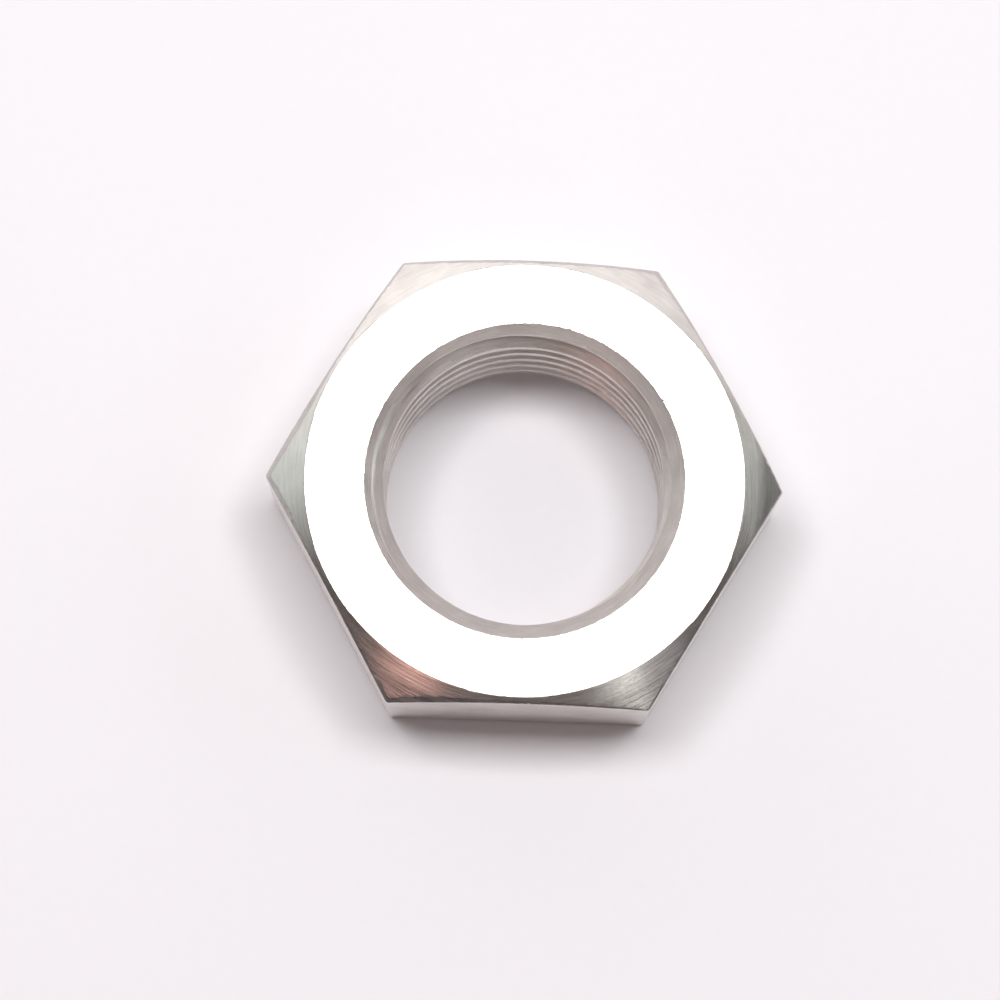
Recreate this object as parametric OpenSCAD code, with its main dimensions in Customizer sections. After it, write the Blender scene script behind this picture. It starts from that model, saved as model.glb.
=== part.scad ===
// Thin hexagon nut with a fine right-hand thread.
// One solid piece of steel: a hexagonal slice of bar, turned on its upper side, then drilled,
// countersunk and tapped. Millimetres, +Z up along the thread. The origin is the middle of the
// lower face. Two flats face along Y and two corners point along X.

/* [Hexagon] */

// Distance between opposite flats, the wrench size
across_flats = 35.5; // [33:0.1:42]

// Thickness of the nut along the thread
height = 12; // [9:0.5:20]

// Diameter of the turned ring on the upper side, as a share of the wrench size
ring_share = 0.972; // [0.93:0.001:0.985]

// Slope of the turned corners, in degrees below the upper face
corner_slope = 35; // [20:1:40]

/* [Thread] */

// Nominal diameter of the bolt the nut takes
thread_d = 24; // [20:0.5:26]

// Rise of the thread in one turn
pitch = 2; // [1.5:0.25:3]

// Where the first groove stands round the bore, in degrees
thread_start = 320; // [0:5:355]

/* [Countersinks] */

// Diameter of the upper countersink where it meets the ring, as a share of the bolt diameter
upper_mouth_share = 1.05; // [1.03:0.01:1.08]

// Half angle of the upper countersink, in degrees from the thread's axis
upper_mouth_angle = 38; // [30:1:60]

// Diameter of the lower countersink where it meets the lower face, as a share of the bolt diameter
lower_mouth_share = 1; // [0.97:0.01:1.05]

/* [Hidden] */

$fa = 3;
$fs = 0.2;

ring_d = across_flats * ring_share;
across_corners = across_flats / cos(30);
corner_drop = (across_corners - ring_d) / 2 * tan(corner_slope);

// The drilled hole leaves a thread of nine tenths of a pitch on the diameter
minor_d = thread_d - 0.9 * pitch;
// The tap cuts a little past the bolt's diameter
root_d = thread_d + 0.15 * pitch;
flank_angle = 30;

upper_mouth_d = thread_d * upper_mouth_share;
lower_mouth_d = thread_d * lower_mouth_share;
upper_mouth_depth = (upper_mouth_d - minor_d) / 2 / tan(upper_mouth_angle);
lower_mouth_depth = (lower_mouth_d - minor_d) / 2;

steps_per_turn = 48;
turns = ceil(height / pitch) + 2;
over = 0.5;

// Half the groove's height at a distance r from the axis: an eighth of a pitch wide at the
// bolt's diameter, with flanks that open towards the axis
function groove_half(r) = pitch / 16 + (thread_d / 2 - r) * tan(flank_angle);

// The groove's outline as [distance from the axis, height], anticlockwise
function groove_outline() =
    let (
        inner = minor_d / 2 - 0.15 * pitch,
        outer = root_d / 2
    )
    [
        [inner, -groove_half(inner)],
        [outer, -groove_half(outer)],
        [outer, groove_half(outer)],
        [inner, groove_half(inner)]
    ];

// The outline carried once round the axis for every pitch it climbs
module thread_groove() {
    outline = groove_outline();
    steps = turns * steps_per_turn;
    points = [
        for (i = [0:steps])
            let (turn = i / steps_per_turn)
            for (p = outline)
                [
                    p[0] * cos(360 * turn),
                    p[0] * sin(360 * turn),
                    p[1] + pitch * turn
                ]
    ];
    sides = [
        for (i = [0:steps - 1], k = [0:3])
            let (
                a = 4 * i + k,
                b = 4 * i + (k + 1) % 4
            )
            each [[a, b, b + 4], [a, b + 4, a + 4]]
    ];
    last = 4 * steps;
    ends = [
        [0, 3, 2],
        [0, 2, 1],
        [last, last + 1, last + 2],
        [last, last + 2, last + 3]
    ];
    rotate([0, 0, thread_start])
        translate([0, 0, -pitch])
            polyhedron(points = points, faces = concat(sides, ends));
}

// A hexagonal slice of bar
module bar_slice() {
    cylinder(h = height, d = across_corners, $fn = 6);
}

// Everything the lathe leaves: full width below the corners, then a cone up to the ring
module turned_outside() {
    wide = across_corners / 2 + 1;
    drop = (wide - ring_d / 2) * tan(corner_slope);
    translate([0, 0, -over])
        cylinder(h = height - drop + over, r = wide);
    translate([0, 0, height - drop])
        cylinder(h = drop, r1 = wide, r2 = ring_d / 2);
}

// The drilled hole with a countersink at each end
module drilled_hole() {
    upper_flare = over * tan(upper_mouth_angle);
    translate([0, 0, -over])
        cylinder(h = height + 2 * over, d = minor_d);
    translate([0, 0, height - upper_mouth_depth])
        cylinder(
            h = upper_mouth_depth + over,
            d1 = minor_d,
            d2 = upper_mouth_d + 2 * upper_flare
        );
    translate([0, 0, -over])
        cylinder(
            h = lower_mouth_depth + over,
            d1 = lower_mouth_d + 2 * over,
            d2 = minor_d
        );
}

module hex_nut() {
    color([0.72, 0.72, 0.7])
        difference() {
            intersection() {
                bar_slice();
                turned_outside();
            }
            drilled_hole();
            thread_groove();
        }
}

hex_nut();
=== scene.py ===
"""A thin machined hexagon nut lying on a pale table, seen from almost straight above."""

import math

import bpy
import numpy as np
from mathutils import Matrix, Vector


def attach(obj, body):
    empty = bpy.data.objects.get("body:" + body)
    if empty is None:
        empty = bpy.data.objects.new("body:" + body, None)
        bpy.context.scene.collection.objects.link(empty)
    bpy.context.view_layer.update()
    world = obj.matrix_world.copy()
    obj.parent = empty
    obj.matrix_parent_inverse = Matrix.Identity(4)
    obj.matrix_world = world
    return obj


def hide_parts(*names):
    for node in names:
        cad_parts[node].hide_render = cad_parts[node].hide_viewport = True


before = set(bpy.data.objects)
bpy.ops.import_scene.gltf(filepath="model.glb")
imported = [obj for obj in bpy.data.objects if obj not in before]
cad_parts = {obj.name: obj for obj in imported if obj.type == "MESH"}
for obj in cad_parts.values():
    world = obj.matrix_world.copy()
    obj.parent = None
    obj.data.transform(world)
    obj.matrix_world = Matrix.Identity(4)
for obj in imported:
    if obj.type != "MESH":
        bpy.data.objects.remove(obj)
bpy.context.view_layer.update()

MM = 0.001
TAU = 2 * math.pi

# ---------------------------------------------------------------- sizes, in millimetres
ACROSS_FLATS = 35.5
HEIGHT = 12.0
RING_R = ACROSS_FLATS * 0.972 / 2
CORNER_SLOPE = math.radians(35)
BOLT_D = 24.0
PITCH = 2.0
CREST_R = (BOLT_D - 0.9 * PITCH) / 2
ROOT_R = (BOLT_D + 0.15 * PITCH) / 2
THREAD_START = math.radians(320)
FLANK = math.tan(math.radians(30))
UPPER_MOUTH_R = BOLT_D * 1.05 / 2
UPPER_MOUTH_TAN = math.tan(math.radians(38))
UPPER_MOUTH_DEPTH = (UPPER_MOUTH_R - CREST_R) / UPPER_MOUTH_TAN
LOWER_MOUTH_R = BOLT_D / 2
LOWER_MOUTH_DEPTH = LOWER_MOUTH_R - CREST_R
CORNER_ROUND = 0.35
BEVEL_SLOPE = math.radians(44)
RING_EDGE = 0.05  # round at the rim of the ring
BORE_BLEND = 0.05  # round where the thread meets a countersink
THREAD_BLEND = 0.07  # round on the crest and in the root
HOLE_SHIFT = -0.1  # the hole was bored a tenth of a millimetre off centre
PASS_R = RING_R + 1.25  # the second tool pass starts here
PASS_STEEPER = 0.04  # and drops this much more for each millimetre outwards

# ---------------------------------------------------------------- how finely the mesh is cut
EVEN_COLUMNS = 1080
CORNER_STEPS = (-0.25, -0.17, -0.08, 0.08, 0.17, 0.25)  # degrees either side of a corner
SQUEEZE_BAND = 0.5  # the thread past the upper face is packed into this much of the top


# ---------------------------------------------------------------- smooth noise round the nut
def ring_noise(angle, waves, seed):
    """Noise that closes on itself after a turn, about -1 to 1. waves is (fewest, most) per turn."""
    draw = np.random.default_rng(seed)
    low, high = waves
    count = 24
    total = np.zeros_like(angle)
    for turns in draw.integers(low, high + 1, count):
        total += np.cos(turns * angle + draw.uniform(0, TAU))
    return total / math.sqrt(count / 2)


def smooth_max(a, b, width):
    """The larger of a and b, with the corner where they cross rounded over width."""
    near = np.maximum(width - np.abs(a - b), 0)
    return np.maximum(a, b) + near * near / (4 * width)


def bump_at(angle, centre_deg, half_width_deg):
    """1 at one angle round the nut, falling to 0 on both sides."""
    gap = (np.degrees(angle) - centre_deg + 180) % 360 - 180
    return np.exp(-((gap / half_width_deg) ** 2))


# ---------------------------------------------------------------- the shape, as functions
def hexagon_radius(angle):
    """Distance from the axis to the hexagon, with its corners a little rounded."""
    half_side = math.pi / 6
    from_flat = angle % (2 * half_side) - half_side
    half = ACROSS_FLATS / 2
    straight = half / np.cos(from_flat)
    centre = (half - CORNER_ROUND) / math.cos(half_side)
    from_corner = half_side - np.abs(from_flat)
    sideways = centre * np.sin(from_corner)
    inside = np.maximum(CORNER_ROUND**2 - sideways**2, 0)
    rounded = centre * np.cos(from_corner) + np.sqrt(inside)
    tangent = half_side - math.atan((half - CORNER_ROUND) * math.tan(half_side) / half)
    return np.where(from_corner < tangent, np.minimum(rounded, straight), straight)


def groove_half(radius):
    """Half the height of the thread groove at a radius."""
    return PITCH / 16 + (BOLT_D / 2 - radius) * FLANK


def thread_radius(from_groove):
    """The thread's own radius at a height from the middle of a groove."""
    away = np.abs((from_groove + PITCH / 2) % PITCH - PITCH / 2)
    flank = ROOT_R - (away - groove_half(ROOT_R)) / FLANK
    crest = smooth_max(flank, np.full_like(flank, CREST_R), THREAD_BLEND)
    return -smooth_max(-crest, np.full_like(crest, -ROOT_R), THREAD_BLEND)


def bore_surfaces(angle, height):
    """Distance from the axis to the thread and to the deeper of the two countersinks at a height."""
    groove = PITCH * (angle - THREAD_START) / TAU
    upper = CREST_R + (height - HEIGHT + UPPER_MOUTH_DEPTH) * UPPER_MOUTH_TAN
    lower = CREST_R + LOWER_MOUTH_DEPTH - height
    return thread_radius(height - groove), np.maximum(upper, lower)


def bore_radius(angle, height):
    """Distance from the axis to the wall of the hole at a height."""
    return smooth_max(*bore_surfaces(angle, height), BORE_BLEND)


def edge_bevel(angle):
    """Width of the filed bevel between a flat and the turned corner, seen from above."""
    width = 0.12
    # (extra width, where it peaks, how far it spreads), the angles in degrees
    wide_places = [
        (0.4, 171, 14),
        (0.3, 246, 11),
        (0.2, 188, 6),
        (0.08, 268, 18),
        (0.16, 90, 45),
        (0.2, 58, 5),
    ]
    for extra, where, spread in wide_places:
        width = width + extra * bump_at(angle, where, spread)
    return np.clip(width + 0.025 * ring_noise(angle, (30, 240), 3), 0.06, 0.58)


# ---------------------------------------------------------------- columns round the nut
def column_angles():
    """Even steps, with extra ones over the six rounded corners."""
    even = np.arange(EVEN_COLUMNS) * TAU / EVEN_COLUMNS
    fine = np.radians(np.array(CORNER_STEPS))
    corners = [(k * math.pi / 3 + fine) % TAU for k in range(6)]
    return np.unique(np.round(np.concatenate([even, *corners]), 9))


ANGLES = column_angles()
COLUMNS = len(ANGLES)


def corner_height(radius):
    """Height of the turned corners at a radius. A second tool pass left the outer part a little steeper."""
    past = radius - PASS_R
    soft_start = 0.02
    steeper = PASS_STEEPER * (past + np.sqrt(past * past + soft_start**2)) / 2
    return HEIGHT - (radius - RING_R) * math.tan(CORNER_SLOPE) - steeper


def arc_rows(centre_r, centre_z, radius, start, stop, count):
    """Points on a round edge, from one direction to the other, in the plane of a column."""
    turns = np.linspace(start, stop, count)[:, None]
    return centre_r + radius * np.cos(turns), centre_z + radius * np.sin(turns)


def outside_rows():
    """(radius, height, part) rows from the lower mouth, round the outside, to the upper mouth."""
    a = ANGLES[None, :]
    hexagon = hexagon_radius(a)
    rows = []

    def add(radius, height, part):
        radius, height = np.broadcast_arrays(radius, height)
        for r, z in zip(radius, height):
            rows.append((r, z, part))

    # lower face, then its outer edge
    low_edge = 0.14 + 0.03 * ring_noise(a, (30, 200), 5)
    inner = bore_radius(a, np.zeros_like(a)) + 0.05
    share = np.array([0.004, 0.25, 0.5, 0.75, 0.996])[:, None]
    outer = hexagon - low_edge
    add(inner, 0 * a, "mouth")
    add(inner + (outer - inner) * share, 0 * a, "lower")
    add(*arc_rows(outer, low_edge, low_edge, -math.pi / 2, 0, 5), "edge")

    # a flat, up to the small round under the filed bevel
    bevel = edge_bevel(a)
    start = hexagon - bevel
    facing = math.pi / 2 - BEVEL_SLOPE
    worn = 0.08 + 0.02 * ring_noise(a, (20, 160), 9)
    reach = worn * math.tan(facing / 2)
    top = corner_height(start) - bevel * math.tan(BEVEL_SLOPE)
    share = np.array([0.004, 0.1, 0.3, 0.5, 0.7, 0.9, 0.996])[:, None]
    add(hexagon + 0 * share, low_edge + (top - reach - low_edge) * share, "flat")
    rough = np.clip(ring_noise(a, (120, 520), 7), 0, 1.6) ** 2
    burr = rough * (0.02 + 0.03 * bump_at(a, 268, 14) + 0.05 * bump_at(a, 331, 1.6))
    radius, height = arc_rows(hexagon - worn, top - reach, worn, 0, facing, 6)
    lift = np.sin(np.linspace(0, math.pi, 6))[:, None] * burr
    add(radius - lift * 0.5, height + lift, "edge")

    # the filed bevel, then the turned corner in to the ring
    low_end = hexagon - worn + worn * math.cos(facing)
    share = np.array([0.03, 0.5, 0.97])[:, None]
    radius = low_end + (start - low_end) * share
    add(radius, corner_height(start) - (radius - start) * math.tan(BEVEL_SLOPE), "edge")
    stop = RING_R + RING_EDGE * math.tan(CORNER_SLOPE / 2) * math.cos(CORNER_SLOPE)
    share = np.array([0.01, 0.1, 0.2, 0.3, 0.4, 0.5, 0.6, 0.7, 0.8, 0.9, 0.99])[:, None]
    radius = start + (stop - start) * share
    add(radius, corner_height(radius), "corner")
    centre_r = RING_R - RING_EDGE * math.tan(CORNER_SLOPE / 2)
    centre_r = centre_r - 0.012 * np.maximum(ring_noise(a, (150, 520), 17) - 0.8, 0)
    add(*arc_rows(centre_r, HEIGHT - RING_EDGE, RING_EDGE, facing, math.pi / 2, 4), "ring")

    # the ring, in to the mouth, which has tool chatter and two small nicks
    chatter = np.abs(ring_noise(a, (40, 500), 11))
    mouth = UPPER_MOUTH_R + 0.03 + chatter * (0.02 + 0.05 * bump_at(a, 71, 7))
    mouth = mouth + 0.16 * bump_at(a, 32, 0.5) + 0.1 * bump_at(a, 9, 0.45)
    share = np.array([0.004, 0.2, 0.4, 0.6, 0.8, 0.97])[:, None]
    add(centre_r + (mouth - centre_r) * share, HEIGHT + 0 * a, "ring")
    add(mouth, HEIGHT + 0 * a, "mouth")
    return rows


def bore_levels():
    """Heights from a groove's middle that follow its root, flanks and crest, for every turn."""
    crest = groove_half(CREST_R)
    half = [0.03, 0.07, 0.14, 0.26, 0.38, 0.5, 0.59, crest - 0.03, crest, crest + 0.04, 0.76, 0.9]
    one = np.array([-v for v in reversed(half)] + [0.0] + half)
    turns = range(-1, int(HEIGHT / PITCH) + 2)
    return np.concatenate([one + PITCH * t for t in turns]), len(one)


def squeeze(height):
    """Heights outside the nut packed into the last bit of its mouths."""
    top = HEIGHT - SQUEEZE_BAND
    low = SQUEEZE_BAND * 0.3
    over = np.maximum(height - top, 0)
    under = np.maximum(low - height, 0)
    height = np.where(height > top, top + SQUEEZE_BAND * (1 - np.exp(-over / SQUEEZE_BAND)), height)
    return np.where(height < low, low * np.exp(-under / low), height)


def grid_points(rows, level):
    """Every point of the mesh, row by row, and which surface each bore point lies on."""
    radius = np.array([r for r, _, _ in rows])
    height = np.array([z for _, z, _ in rows])
    turns = round(THREAD_START / TAU)
    bore_z = level[:, None] + PITCH * (ANGLES[None, :] - THREAD_START) / TAU
    bore_z = squeeze(bore_z + PITCH * turns)
    tear_depth, tears_per_mm = 0.008, 9.1
    tear = ring_noise(ANGLES, (30, 300), 13)[None, :] * tear_depth
    tear = tear * np.sin(level * tears_per_mm)[:, None]
    bore_r = bore_radius(ANGLES[None, :], bore_z) + tear

    radius = np.concatenate([radius, bore_r])
    x = radius * np.cos(ANGLES)
    y = radius * np.sin(ANGLES)
    mouth_rows = [row for row, (_, _, part) in enumerate(rows) if part == "mouth"]
    bore_rows = range(len(rows), len(rows) + len(level))
    y[[*mouth_rows, *bore_rows]] += HOLE_SHIFT
    points = np.stack([x, y, np.concatenate([height, bore_z])], axis=2).reshape(-1, 3)

    thread, countersink = bore_surfaces(ANGLES[None, :], bore_z)
    return points, np.where(countersink > thread, "countersink", "thread")


def build_mesh():
    """One closed mesh: rows round the outside, and rows that climb with the thread inside."""
    rows = outside_rows()
    level, per_turn = bore_levels()
    points, bore_part = grid_points(rows, level)
    faces, face_part = [], []

    def index(row, column):
        return row * COLUMNS + column

    def add(part, *corners):
        faces.append(tuple(index(row, column) for row, column in corners))
        face_part.append(part)

    # round the outside
    for row in range(len(rows) - 1):
        part = "edge" if rows[row][2] == "edge" else rows[row + 1][2]
        part = "ring" if part == "mouth" else part
        for c in range(COLUMNS):
            d = (c + 1) % COLUMNS
            add(part, (row, c), (row, d), (row + 1, d), (row + 1, c))

    # up the bore
    first = len(rows)
    final = first + len(level) - 1
    for row in range(len(level) - 1):
        at = first + row
        for c in range(COLUMNS - 1):
            add(bore_part[row, c], (at, c), (at + 1, c), (at + 1, c + 1), (at, c + 1))

    # the last column meets the first one a turn higher, which leaves a fan at each end
    last = COLUMNS - 1
    for row in range(len(level) - 1 - per_turn):
        at = first + row
        above = at + per_turn
        add(bore_part[row, last], (at, last), (at + 1, last), (above + 1, 0), (above, 0))
    for step in range(per_turn):
        add("countersink", (first, last), (first + step + 1, 0), (first + step, 0))
        add("countersink", (final - step, last), (final, 0), (final - step - 1, last))

    # join the thread's ends to the two mouths
    for c in range(COLUMNS):
        d = (c + 1) % COLUMNS
        add("countersink", (first - 1, c), (first - 1, d), (final, d), (final, c))
        add("countersink", (first, c), (first, d), (0, d), (0, c))
    return points * MM, faces, face_part


points, faces, face_part = build_mesh()
mesh = bpy.data.meshes.new("hex_nut_detail")
mesh.from_pydata(points.tolist(), [], faces)
mesh.validate()
mesh.shade_smooth()
nut = bpy.data.objects.new("hex_nut_detail", mesh)
bpy.context.scene.collection.objects.link(nut)
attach(nut, "root")
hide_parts("hex_nut")


# ---------------------------------------------------------------- materials
class Nodes:
    """A short way to write a node tree."""

    def __init__(self, material):
        material.use_nodes = True
        self.tree = material.node_tree
        self.tree.nodes.clear()

    def add(self, kind, inputs=(), **settings):
        node = self.tree.nodes.new("ShaderNode" + kind)
        for name, value in settings.items():
            setattr(node, name, value)
        for name, value in dict(inputs).items():
            self.set(node, name, value)
        return node

    def set(self, node, name, value):
        socket = node.inputs[name]
        if isinstance(value, bpy.types.NodeSocket):
            self.tree.links.new(value, socket)
        else:
            socket.default_value = value

    def math(self, operation, a, b=0.0):
        return self.add("Math", {0: a, 1: b}, operation=operation).outputs[0]

    def product(self, first, *others):
        for other in others:
            first = self.math("MULTIPLY", first, other)
        return first

    def blend(self, factor, first, second):
        """A colour between two others."""
        node = self.add("Mix", {"Factor": factor, 6: first, 7: second}, data_type="RGBA")
        return node.outputs[2]

    def noise(self, vector, scale, detail, roughness=0.5):
        inputs = {"Vector": vector, "Scale": scale, "Detail": detail, "Roughness": roughness}
        return self.add("TexNoise", inputs).outputs[0]

    def ramp(self, value, start, stop, low=0.0, high=1.0, soft=False):
        """low where value is at start, high where it is at stop."""
        kind = "SMOOTHSTEP" if soft else "LINEAR"
        ends = {0: value, 1: start, 2: stop, 3: low, 4: high}
        return self.add("MapRange", ends, interpolation_type=kind).outputs[0]


DARK_SHARE = 0.72  # the dark patches, as a share of the steel's colour
STREAKS = 1.4  # how strongly the tool marks tint it


def steel(name, colour, rough, grain, anisotropy=0.0, painted_pass_reflection=False):
    """Bare steel. grain(nodes, place) gives the tool marks and their depth in metres."""
    material = bpy.data.materials.new(name)
    n = Nodes(material)
    place = n.add("TexCoord").outputs["Object"]
    marks, depth = grain(n, place)
    patches = n.noise(place, 420.0, 5.0)
    streaks = n.math("MULTIPLY", n.math("SUBTRACT", marks, 0.5), STREAKS)
    dark = tuple(c * DARK_SHARE for c in colour)
    tint = n.blend(n.math("ADD", patches, streaks), (*dark, 1), (*colour, 1))
    # the +X corner's outer band gets a painted dark reflection
    if painted_pass_reflection:
        tint = paint_pass_reflection(n, place, tint)
    bump = n.add("Bump", {"Height": marks, "Strength": 1.0, "Distance": depth})
    shader = n.add("BsdfPrincipled")
    shader.inputs["Metallic"].default_value = 1.0
    shader.inputs["Anisotropic"].default_value = anisotropy
    n.set(shader, "Base Color", tint)
    n.set(shader, "Roughness", n.ramp(marks, 0.2, 0.8, *rough))
    n.set(shader, "Normal", bump.outputs[0])
    if anisotropy:
        tangent = n.add("Tangent", direction_type="RADIAL", axis="Z")
        n.set(shader, "Tangent", tangent.outputs[0])
    n.add("OutputMaterial", {"Surface": shader.outputs[0]})
    return material


def polar(n, place, along, across, up):
    """Coordinates that run round the axis and close on themselves, with a scale each way per metre."""
    x, y, z = n.add("SeparateXYZ", {0: place}).outputs
    squares = n.math("ADD", n.product(x, x), n.product(y, y))
    radius = n.math("MAXIMUM", n.math("SQRT", squares), MM)
    round_x = n.product(n.math("DIVIDE", x, radius), along)
    round_y = n.product(n.math("DIVIDE", y, radius), along)
    away = n.math("ADD", n.product(radius, across), n.product(z, up))
    return n.add("CombineXYZ", {0: round_x, 1: round_y, 2: away}).outputs[0]


def paint_pass_reflection(n, place, colour):
    """The colour, darkened on the +X corner where the second tool pass ran. The darkening is a painted dark
    reflection, up to half way to black on the band outside PASS_R.
    """
    wander = n.product(n.noise(place, 900.0, 3.0), 0.3 * MM)
    outward = n.add("SeparateXYZ", {0: polar(n, place, 0.0, 1.0, 0.0)}).outputs[2]
    outer = n.ramp(n.math("ADD", outward, wander), PASS_R * MM, (PASS_R + 0.8) * MM)
    x = n.add("SeparateXYZ", {0: place}).outputs[0]
    corner = n.ramp(x, 11 * MM, 16 * MM)
    # painted dark reflection: the band outside PASS_R on the +X corner, blended half way to black
    return n.blend(n.product(outer, corner, 0.5), colour, (0.0, 0.0, 0.0, 1))


def turned(n, place):
    """Fine rings left by a lathe tool, with some wider ones."""
    fine = n.noise(polar(n, place, 6.0, 14000.0, 0.0), 1.0, 4.0, 0.65)
    broad = n.noise(polar(n, place, 7.0, 4500.0, 0.0), 1.0, 3.0)
    marks = n.add("Mix", {"Factor": 0.6, 2: fine, 3: broad}, data_type="FLOAT").outputs[0]
    return marks, 0.014 * MM


def milled(n, place):
    """Faint lines along each flat, left by a cutter."""
    stretched = n.add("Mapping", {"Vector": place, "Scale": (240.0, 240.0, 5200.0)}).outputs[0]
    return n.noise(stretched, 1.0, 4.0, 0.6), 0.004 * MM


def tapped(n, place):
    """Chatter and tearing along the thread."""
    return n.noise(polar(n, place, 6.0, 5200.0, 5200.0), 1.0, 5.0, 0.6), 0.03 * MM


STEEL = (0.86, 0.82, 0.79)
# the bevels and edge rounds are a darker steel than the faces
DARKER_EDGE_STEEL = (0.72, 0.67, 0.65)
BRIGHT = (0.99, 0.945, 0.92)
materials = {
    "ring": steel("steel_ring", STEEL, (0.22, 0.34), turned, 0.3),
    # the turned corners carry a painted dark reflection on the +X corner
    "corner": steel("steel_corner", STEEL, (0.17, 0.29), turned, 0.3, painted_pass_reflection=True),
    "edge": steel("steel_edge", DARKER_EDGE_STEEL, (0.16, 0.3), milled),
    "flat": steel("steel_flat", STEEL, (0.26, 0.42), milled),
    "lower": steel("steel_lower", STEEL, (0.24, 0.38), turned, 0.3),
    "thread": steel("steel_thread", STEEL, (0.3, 0.46), tapped),
    "countersink": steel("steel_countersink", BRIGHT, (0.34, 0.48), tapped),
}
order = list(materials)
for name in order:
    mesh.materials.append(materials[name])
mesh.polygons.foreach_set("material_index", [order.index(p) for p in face_part])
mesh.update()

# ---------------------------------------------------------------- table
table_mesh = bpy.data.meshes.new("table")
reach = 4.0
table_corners = [(-reach, -reach, 0), (reach, -reach, 0), (reach, reach, 0), (-reach, reach, 0)]
table_mesh.from_pydata(table_corners, [], [(0, 1, 2, 3)])
table = bpy.data.objects.new("table", table_mesh)
bpy.context.scene.collection.objects.link(table)
table.location.z = -0.02 * MM


def paper():
    """Smooth white paper with a faint fibre."""
    material = bpy.data.materials.new("paper")
    n = Nodes(material)
    fibre = n.noise(n.add("TexCoord").outputs["Object"], 900.0, 4.0)
    tint = n.blend(fibre, (0.87, 0.855, 0.885, 1), (0.89, 0.875, 0.905, 1))
    bump = n.add("Bump", {"Height": fibre, "Strength": 0.2, "Distance": 0.03 * MM})
    shader = n.add("BsdfPrincipled", {"Base Color": tint, "Normal": bump.outputs[0]})
    shader.inputs["Roughness"].default_value = 0.75
    shader.inputs["Specular IOR Level"].default_value = 0.2
    n.add("OutputMaterial", {"Surface": shader.outputs[0]})
    return material


table_mesh.materials.append(paper())


# ---------------------------------------------------------------- light
def direction(azimuth, elevation):
    a, e = math.radians(azimuth), math.radians(elevation)
    return Vector((math.cos(a) * math.cos(e), math.sin(a) * math.cos(e), math.sin(e)))


def area_light(name, size, radiance, colour):
    """A soft rectangular light that faces down. radiance is its brightness as seen from the nut."""
    data = bpy.data.lights.new(name, "AREA")
    data.shape = "RECTANGLE"
    data.size, data.size_y = size
    data.energy = radiance * size[0] * size[1] * math.pi
    data.color = colour
    thing = bpy.data.objects.new(name, data)
    bpy.context.scene.collection.objects.link(thing)
    return thing


PANEL_HEIGHT = 0.6
PANEL_REACH = (0.05, 0.36)
PANEL_COLOUR = (1.0, 0.985, 0.99)
LAMP_DISTANCE = 0.8


def panel(name, left, right, radiance):
    """A flat light overhead. Its ends, and its reach past the nut, are slopes seen from the nut."""
    near, far = PANEL_REACH
    size = ((right - left) * PANEL_HEIGHT, (far - near) * PANEL_HEIGHT)
    thing = area_light(name, size, radiance, PANEL_COLOUR)
    middle = Vector(((left + right) / 2, (near + far) / 2, 1.0))
    thing.location = middle * PANEL_HEIGHT


def lamp(name, azimuth, elevation, size, radiance, colour):
    """A light to one side that faces the nut."""
    thing = area_light(name, size, radiance, colour)
    towards = direction(azimuth, elevation)
    thing.location = towards * LAMP_DISTANCE
    thing.rotation_euler = towards.to_track_quat("Z", "Y").to_euler()


# a panel above the nut with a brighter one on each side of it
panel("middle_panel", -0.2, 0.2, 8.0)
panel("left_panel", -0.46, -0.2, 13.5)
panel("right_panel", 0.2, 0.46, 13.5)

# what the corners on the near side and the thread on the left reflect
lamp("hand", 236, 34, (0.2, 0.22), 1.5, (1.0, 0.54, 0.45))
lamp("cuff", 304, 31, (0.05, 0.26), 2.9, (0.98, 1.0, 0.95))
lamp("sleeve", 312, 29, (0.3, 0.16), 0.4, (0.95, 0.96, 1.0))
lamp("side_window", 12, 33, (0.42, 0.28), 1.0, (0.92, 1.0, 0.97))


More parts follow.
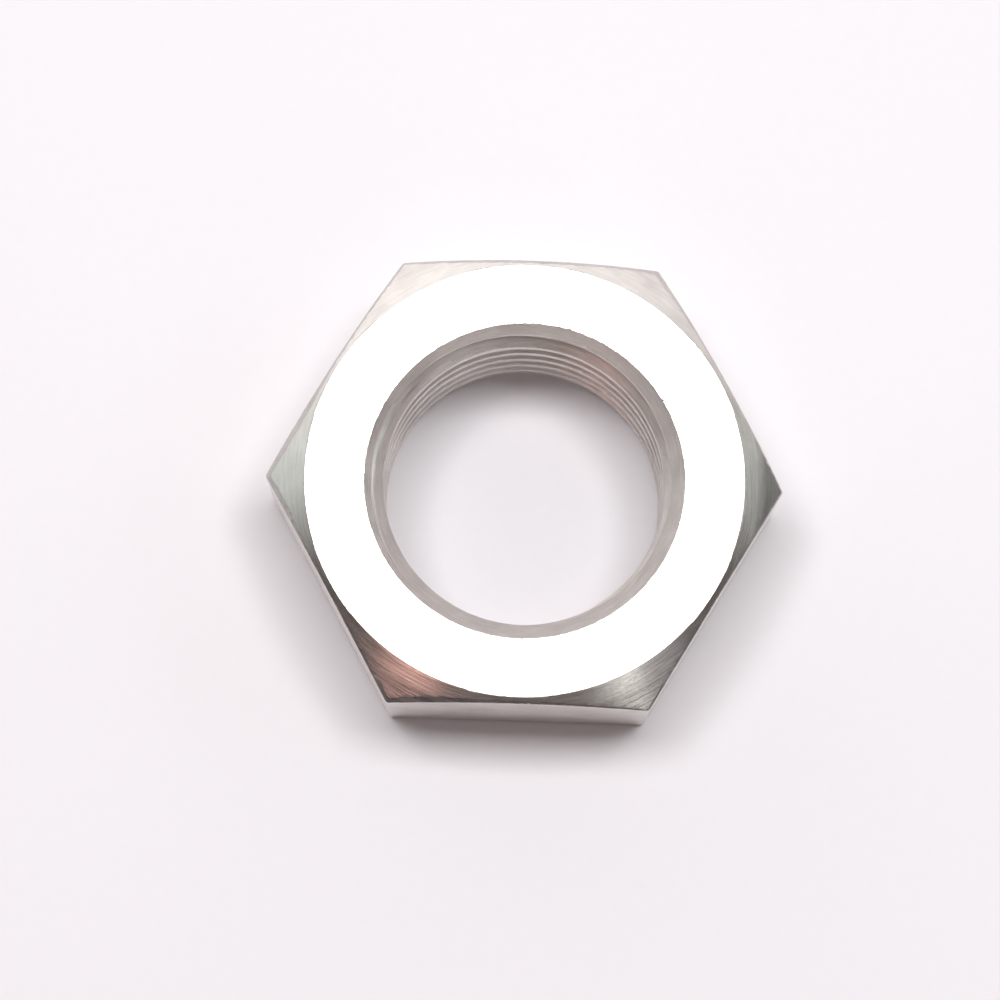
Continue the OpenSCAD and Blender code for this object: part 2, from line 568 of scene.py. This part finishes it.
def room():
    """A dim, warm room with a pale wall beyond the nut."""
    world = bpy.data.worlds.new("studio")
    n = Nodes(world)
    ray = n.add("TexCoord").outputs["Generated"]
    east, north, up = n.add("SeparateXYZ", {0: ray}).outputs
    flat_length = n.math("SQRT", n.math("SUBTRACT", 1.0, n.product(up, up)))
    flat_length = n.math("MAXIMUM", flat_length, 0.001)
    north = n.math("DIVIDE", north, flat_length)
    east = n.math("DIVIDE", east, flat_length)

    # the wall reaches further round on the left, and is brightest a little left of straight ahead
    leaning = n.math("SUBTRACT", north, n.product(n.math("MINIMUM", east, 0.0), 0.13))
    far_side = n.ramp(leaning, -0.2, 0.42, soft=True)
    low = n.ramp(up, 0.6, 0.28, soft=True)
    off_peak = n.math("ABSOLUTE", n.math("ADD", east, 0.35))
    peak = n.math("SUBTRACT", 1.34, n.product(off_peak, 0.36))
    left_dim = n.ramp(east, -0.95, -0.6, 0.76, 1.0)
    right_dim = n.ramp(east, 0.5, 0.85, 1.0, 0.56)
    wall = n.product(far_side, low, n.product(peak, left_dim), right_dim)
    sideways = n.ramp(n.math("ABSOLUTE", east), 0.8, 0.98)
    beyond = n.ramp(north, -0.3, 0.0)
    wall_colour = n.blend(n.product(sideways, beyond), (1.0, 0.98, 0.97, 1), (0.91, 1.0, 0.97, 1))
    wall_light = n.add("Background", {"Color": wall_colour, "Strength": wall})

    # the room itself, darker towards the floor and straight up
    above = n.ramp(up, 0.4, 0.6, 0.1, 0.32, soft=True)
    fade = n.ramp(up, 0.68, 0.85, 1.0, 0.1, soft=True)
    room_light = n.add("Background", {"Strength": n.product(above, fade)})
    room_light.inputs["Color"].default_value = (1.0, 0.87, 0.85, 1)
    both = n.add("AddShader", {0: wall_light.outputs[0], 1: room_light.outputs[0]})
    n.add("OutputWorld", {"Surface": both.outputs[0]})
    return world


bpy.context.scene.world = room()


# ---------------------------------------------------------------- camera
def turn_about(axis, degrees):
    return Matrix.Rotation(math.radians(degrees), 3, axis)


# The view's turn and place come from the round ring and the hexagon as they look from there.
# This is where the middle of the ring stands in the camera's own frame, in ring radii.
RING_FROM_CAMERA = Vector((0.11219, 0.09942, -13.62579))

camera_data = bpy.data.cameras.new("camera")
camera_data.sensor_width = 36.0
camera_data.lens = 108.0
camera_data.clip_start = 0.01
camera_data.clip_end = 20.0
camera = bpy.data.objects.new("camera", camera_data)
bpy.context.scene.collection.objects.link(camera)
turn = turn_about("X", -10.88) @ turn_about("Y", 0.44) @ turn_about("Z", -1.80)
back = turn.transposed()
ring_middle = Vector((0, 0, HEIGHT * MM))
position = ring_middle - back @ RING_FROM_CAMERA * (RING_R * MM)
camera.matrix_world = Matrix.Translation(position) @ back.to_4x4()
bpy.context.scene.camera = camera

bpy.context.scene.view_settings.view_transform = "Standard"
